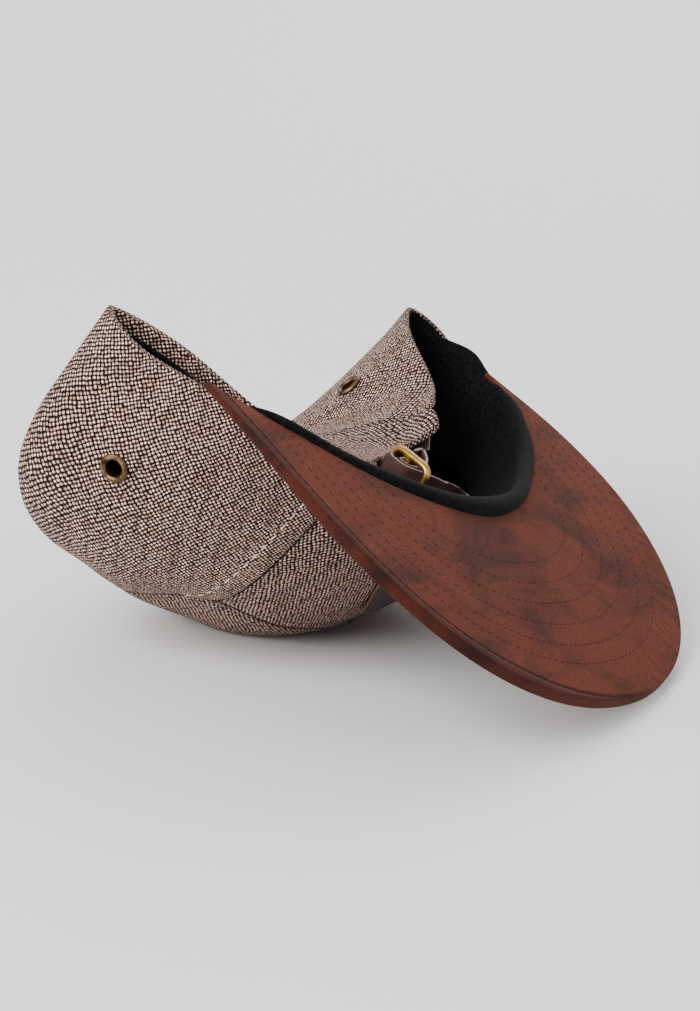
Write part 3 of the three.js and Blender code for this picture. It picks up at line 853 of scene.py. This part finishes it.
board = merged("brim")
corners = [e for e in board.edges if e.calc_face_angle(0.0) > BRIM_CORNER]
bmesh.ops.bevel(board, geom=corners, offset=BRIM_ROUND * MM, segments=3, profile=0.5, affect="EDGES")
brim = made_piece(board, "brim_suede", 3, [suede])
flat = brim.data.uv_layers.new(name="edge")
plan = np.array([world_to_worn @ v.co for v in brim.data.vertices])[:, :2] / MM
nearest = np.array([np.argmin(((outer - p) ** 2).sum(1)) for p in plan])
spread = np.c_[along[nearest], ((plan - outer[nearest]) * inward[nearest]).sum(1)]
corner = np.array([loop.vertex_index for loop in brim.data.loops])
flat.data.foreach_set("uv", spread[corner].ravel())
settle(brim, "brim")

# Brim stitches: fine dark thread in rows that follow the brim's edge, and along the binding's seam.
# They are sewn through suede and board. Each row is dropped onto the lower face, which lies uppermost here,
# starts in front of the brim's corners, and ends where the binding's seam leaves the face.
ROWS = (11.6, 17.6, 24.5, 31.5, 38.5, 45.5)
BRIM_STITCH = {"Pitch": 2.9, "Long": 1.5, "Thick": 0.22}
ROW_STEP = 3
ROW_START = 3
LEAST_INSIDE = 0.5
LEAST_POINTS = 6
BELOW_BRIM = -60
surface = BVHTree.FromObject(brim, bpy.context.evaluated_depsgraph_get())
brim_lines = []
offsets = [np.full(len(outer), row) for row in ROWS]
offsets.append(
    np.interp(along, (EDGE_SEAM["from"], EDGE_SEAM["to"]), (EDGE_SEAM["inside"], EDGE_SEAM["outside"]))
)
for offset in offsets:
    line = []
    path = outer + inward * offset[:, None]
    for (x, y), inside in zip(path[::ROW_STEP], offset[::ROW_STEP]):
        start = worn_to_world @ (Vector((x, y, BELOW_BRIM)) * MM)
        hit = surface.ray_cast(start, toward_crown)[0]
        if hit is not None and y > ROW_START and inside > LEAST_INSIDE:
            line.append(hit)
        elif len(line) > LEAST_POINTS:
            brim_lines.append(line)
            line = []
    if len(line) > LEAST_POINTS:
        brim_lines.append(line)
brim_thread = new_thread("dark_brim_thread", "#170b07", "#2a160f")
sew(brim_lines, "brim_stitches", BRIM_STITCH, brim_thread)

# Sweatband: a soft strip of black cotton felt sewn inside the rim, rolled over the joint with the brim.
# Where the roll presses over the rim and against the brim, it rises and spreads, as worn and in millimetres.
ROLLS = (
    {"name": "far_side", "at": (90, -4, 4), "wide": 15, "up": 5.8, "out": 3.8},
    {"name": "far_corner", "at": (80, 13, 1), "wide": 12, "up": 1.0, "out": 2.4},
    {"name": "front_right", "at": (62, 34, 0), "wide": 20, "up": 0.4, "out": 3.0},
    {"name": "middle_right", "at": (24, 51, 0), "wide": 22, "up": 0.3, "out": 2.8},
    {"name": "middle_left", "at": (-20, 51, 0), "wide": 22, "up": 0.3, "out": 2.4},
    {"name": "front_left", "at": (-62, 32, 0), "wide": 20, "up": 0.4, "out": 2.6},
    {"name": "left_corner", "at": (-80, 14, 0), "wide": 15, "up": 0.5, "out": 2.6},
)
# The roll is the band's top, down to this depth and fading over the next; it spreads from the band's middle.
ROLL_DEEP, ROLL_FADE = 5, 10
BAND_MIDDLE = 5

# Cotton felt, napped on its face: black and quite matte, with greyer fibres and a little pale lint.
# The fibres are drawn coarser than they are, so that they show.
FIBRE_WIDE = 0.77
LINT_APART = 3.03
FIBRE_HIGH = 0.25
felt, tree, shader = new_finish(
    "black_cotton_felt", Roughness=0.95, Sheen_Weight=0.02, Specular_IOR_Level=0.08
)
place = add(tree, "ShaderNodeTexCoord")
fibre = add(
    tree,
    "ShaderNodeTexNoise",
    {"Vector": place.outputs["Object"], "Scale": 1 / (FIBRE_WIDE * MM), "Detail": 4.0},
)
lint = add(
    tree, "ShaderNodeTexVoronoi", {"Vector": place.outputs["Object"], "Scale": 1 / (LINT_APART * MM)}
)
speck = add(
    tree,
    "ShaderNodeMapRange",
    {"Value": lint.outputs["Distance"], "From Min": 0.05, "From Max": 0.1, "To Min": 0.12, "To Max": 0.0},
)
blacks = add(
    tree, "ShaderNodeValToRGB", {"Fac": fibre.outputs[0]}, stops=((0.35, "#030304"), (0.65, "#171619"))
)
dusted = add(
    tree,
    "ShaderNodeMix",
    {0: speck.outputs[0], 6: blacks.outputs[0], 7: linear("#6d6866")},
    data_type="RGBA",
)
tree.links.new(dusted.outputs[2], shader.inputs["Base Color"])
bump = add(tree, "ShaderNodeBump", {"Height": fibre.outputs[0], "Strength": 0.5, "Distance": FIBRE_HIGH * MM})
tree.links.new(bump.outputs[0], shader.inputs["Normal"])

band = made_piece(merged("sweatband"), "sweatband_felt", 2, [felt])
spots = [v.co.copy() for v in band.data.vertices]
for k, spot in enumerate(spots):
    worn = world_to_worn @ spot / MM
    top = 1 - max(0.0, min(1.0, (worn.z - ROLL_DEEP) / ROLL_FADE))
    away = Vector((worn.x, worn.y - BAND_MIDDLE, 0)).normalized()
    shift = Vector()
    for roll in ROLLS:
        weight = top * math.exp(-(((worn - Vector(roll["at"])).length / roll["wide"]) ** 2))
        shift += (away * roll["out"] - Vector((0, 0, roll["up"]))) * weight
    spots[k] = worn_to_world @ ((worn + shift) * MM)
band.data.vertices.foreach_set("co", np.array(spots, dtype=np.float32).ravel())
band.data.update()
settle(band, "sweatband")

# Eyelets: rings pressed from brass, one set through each side panel and clenched behind it.
# They let air in at the crown, and their brass has gone dull and brown in patches.
EYELET_ROUND = 0.12
SHARP = 0.6


def new_brass(name, wide, stops, dull, rubbed):
    """Brass in patches of a width in millimetres, with the roughness of its dull and its rubbed ones."""
    made, tree, shader = new_finish(name, Metallic=1.0)
    patches = mottled(tree, shader, wide, 5.0, stops)
    wear = add(
        tree,
        "ShaderNodeMapRange",
        {"Value": patches.outputs[0], "From Min": 0.3, "From Max": 0.7, "To Min": dull, "To Max": rubbed},
    )
    tree.links.new(wear.outputs[0], shader.inputs["Roughness"])
    return made


# Antique brass, browned by age: metal with little shine, darker and rougher where the tarnish is thick.
TARNISH_WIDE = 2.38
old_brass = new_brass("antique_brass", TARNISH_WIDE, ((0.35, "#33261a"), (0.7, "#86694a")), 0.55, 0.35)


def rounded(node, name, round_mm, material):
    """A CAD node's solid with its sharp edges rounded and its facets smoothed."""
    mesh = merged(node)
    edges = [e for e in mesh.edges if e.calc_face_angle(0.0) > SHARP]
    bmesh.ops.bevel(mesh, geom=edges, offset=round_mm * MM, segments=2, profile=0.5, affect="EDGES")
    return made_piece(mesh, name, 2, [material])


for node in ("eyelet_left", "eyelet_right"):
    settle(rounded(node, node + "_ring", EYELET_ROUND, old_brass), node)

# Front patch: a bare piece of nearly black leather, cut out with its lower corners off.
# It is sewn flat to the front panel, and its cut edge is left tan.
PATCH_THICK = 1.6
CUT_ROUND = 0.3
JUST_INSIDE = 0.02


def pebbled(tree, shader, wide, high, strength):
    """Raises a leather's grain in pebbles of a width and a height in millimetres."""
    place = add(tree, "ShaderNodeTexCoord")
    grain = add(tree, "ShaderNodeTexVoronoi", {"Vector": place.outputs["Object"], "Scale": 1 / (wide * MM)})
    bump = add(
        tree,
        "ShaderNodeBump",
        {"Height": grain.outputs["Distance"], "Strength": strength, "Distance": high * MM},
    )
    tree.links.new(bump.outputs[0], shader.inputs["Normal"])


# Grain leather, dyed nearly black: half matte, finely pebbled and a little browner in patches.
PATCH_GRAIN, PATCH_GRAIN_HIGH = 0.91, 0.15
PATCH_MOTTLE = 8.33
patch_leather, tree, shader = new_finish("black_brown_leather", Roughness=0.6)
mottled(tree, shader, PATCH_MOTTLE, 4.0, ((0.0, "#1c1210"), (1.0, "#33231d")))
pebbled(tree, shader, PATCH_GRAIN, PATCH_GRAIN_HIGH, 0.3)

# Cut leather, left undyed: tan, dry and fibrous.
TAN_FIBRE = 1.11
tan_edge, tree, shader = new_finish("tan_cut_leather", Roughness=0.85)
mottled(tree, shader, TAN_FIBRE, 4.0, ((0.0, "#4a3020"), (1.0, "#8a6440")))


def leather_strip(node, name, thick, materials):
    """A strip of leather with its cut edges rounded and given the second material."""
    mesh = merged(node)
    solid = BVHTree.FromBMesh(mesh)
    for face in mesh.faces:
        start = face.calc_center_median() - face.normal * JUST_INSIDE * MM
        through = solid.ray_cast(start, -face.normal)[3]
        face.material_index = 1 if through is None or through > 2 * thick * MM else 0
    edges = [e for e in mesh.edges if len({face.material_index for face in e.link_faces}) > 1]
    bmesh.ops.bevel(mesh, geom=edges, offset=CUT_ROUND * MM, segments=2, profile=0.5, affect="EDGES")
    return made_piece(mesh, name, 2, materials)


patch = leather_strip("front_patch", "front_patch_leather", PATCH_THICK, [patch_leather, tan_edge])
settle(patch, "front_patch")

# Strap and tab: strips of dark brown leather sewn to the back panel beside its arch, with raw cut edges.
# The tab is doubled round the buckle's bar, and the strap passes through the buckle and curls up there.
STRAP_THICK = 1.7
TAB_THICK = 1.4

# Vegetable-tanned leather, waxed on its grain side: dark brown with a weak shine, mottled by handling.
STRAP_GRAIN, STRAP_GRAIN_HIGH = 1.11, 0.2
STRAP_MOTTLE = 6.25
strap_leather, tree, shader = new_finish("dark_strap_leather", Roughness=0.75, Specular_IOR_Level=0.25)
mottled(tree, shader, STRAP_MOTTLE, 5.0, ((0.3, "#2c1a17"), (0.75, "#593b36")))
pebbled(tree, shader, STRAP_GRAIN, STRAP_GRAIN_HIGH, 0.35)

# Raw leather edge, cut and left unfinished: dry mauve-grey fibres that catch the light.
RAW_FIBRE = 1.0
raw_edge, tree, shader = new_finish("raw_leather_edge", Roughness=0.95, Sheen_Weight=0.3)
mottled(tree, shader, RAW_FIBRE, 4.0, ((0.3, "#4a3532"), (0.7, "#957b75")))

for node, thick in (("strap", STRAP_THICK), ("strap_tab", TAB_THICK)):
    strip = leather_strip(node, node + "_leather", thick, [strap_leather, raw_edge])
    settle(strip, node)

# Buckle: a frame of bent brass wire with soldered bars, rubbed golden where it is handled.
# A roller of dull brass tube sits on its rear bar, where the leather turns.
ROLLER_ROUND = 0.1

# Brass wire, polished and worn: a warm golden metal, brighter and smoother where it is rubbed.
RUB_WIDE = 3.85
brass = new_brass("golden_brass", RUB_WIDE, ((0.3, "#8a6a2c"), (0.65, "#d3ae62")), 0.42, 0.24)
settle(made_piece(merged("buckle_frame"), "buckle_frame_wire", 2, [brass]), "buckle_frame")
roller = rounded("buckle_roller", "buckle_roller_tube", ROLLER_ROUND, old_brass)
settle(roller, "buckle_roller")

# Floor: the plain table that the cap lies on, wide enough to fill the picture.
# Matte card, pale and even, so that only the cap's soft shadow shows on it.
FLOOR_REACH = 6
floor_mesh = bpy.data.meshes.new("floor")
floor_corners = [(x * FLOOR_REACH, y * FLOOR_REACH, 0) for x, y in ((-1, -1), (1, -1), (1, 1), (-1, 1))]
floor_mesh.from_pydata(floor_corners, [], [(0, 1, 2, 3)])
floor = bpy.data.objects.new("floor", floor_mesh)
bpy.context.scene.collection.objects.link(floor)
pale, tree, shader = new_finish("pale_floor", Roughness=0.8, Base_Color=linear("#f4f4f4"))
floor_mesh.materials.append(pale)

# Camera: the photograph's place, given in the cap's own frame as right, up and towards the camera.
# The middle between the brim's corners falls on its pixel of the picture, so the lens points past it.
CAMERA_RIGHT = Vector((0.438, 0.686, -0.581))
CAMERA_UP = Vector((-0.002, -0.646, -0.763))
CAMERA_TOWARD = Vector((-0.899, 0.335, -0.282))
CAMERA_FAR = 1.3
CAMERA_SEES = 50
SENSOR_MM = 36
FRAME_WIDE, FRAME_TALL = 700, 1011
PX_PER_MM = 3.61
FOCAL_PX = PX_PER_MM * CAMERA_FAR / MM
CAP_PX = (355.57, 376.43)
right, up, toward = (worn_to_world.to_3x3() @ v for v in (CAMERA_RIGHT, CAMERA_UP, CAMERA_TOWARD))
camera_data = bpy.data.cameras.new("camera")
camera = bpy.data.objects.new("camera", camera_data)
bpy.context.scene.collection.objects.link(camera)
camera_data.sensor_width = SENSOR_MM
camera_data.lens = FOCAL_PX * SENSOR_MM / FRAME_TALL
camera_data.clip_end = CAMERA_SEES
camera.location = CAP_AT + toward * CAMERA_FAR
aim = (
    -toward
    + right * ((FRAME_WIDE / 2 - CAP_PX[0]) / FOCAL_PX)
    - up * ((FRAME_TALL / 2 - CAP_PX[1]) / FOCAL_PX)
).normalized()
side_way = aim.cross(up).normalized()
camera.rotation_mode = "QUATERNION"
camera.rotation_quaternion = Matrix((side_way, side_way.cross(aim), -aim)).transposed().to_quaternion()
bpy.context.scene.camera = camera

# Lights: a broad soft key from the camera's upper left, a weak fill from its right and one from behind.
# Their places are metres to the camera's right, up from the floor, and towards the camera.
LIGHTS = (
    {"name": "key", "at": (-1.0, 0.7, 0.95), "size": 1.1, "power": 42},
    {"name": "fill", "at": (0.9, 0.5, 0.9), "size": 1.4, "power": 5},
    {"name": "back", "at": (0.2, 1.1, -1.0), "size": 1.2, "power": 11},
)
SKY_POWER = 0.62
for row in LIGHTS:
    lamp = bpy.data.lights.new(row["name"], "AREA")
    lamp.size = row["size"]
    lamp.energy = row["power"]
    light = bpy.data.objects.new(row["name"], lamp)
    light.location = right * row["at"][0] + Vector((0, 0, 1)) * row["at"][1] + toward * row["at"][2]
    light.rotation_mode = "QUATERNION"
    light.rotation_quaternion = (-light.location).to_track_quat("-Z", "Y")
    bpy.context.scene.collection.objects.link(light)
world = bpy.data.worlds.new("studio")
bpy.context.scene.world = world
world.use_nodes = True
sky = world.node_tree.nodes["Background"]
sky.inputs[0].default_value = linear("#ffffff")
sky.inputs[1].default_value = SKY_POWER
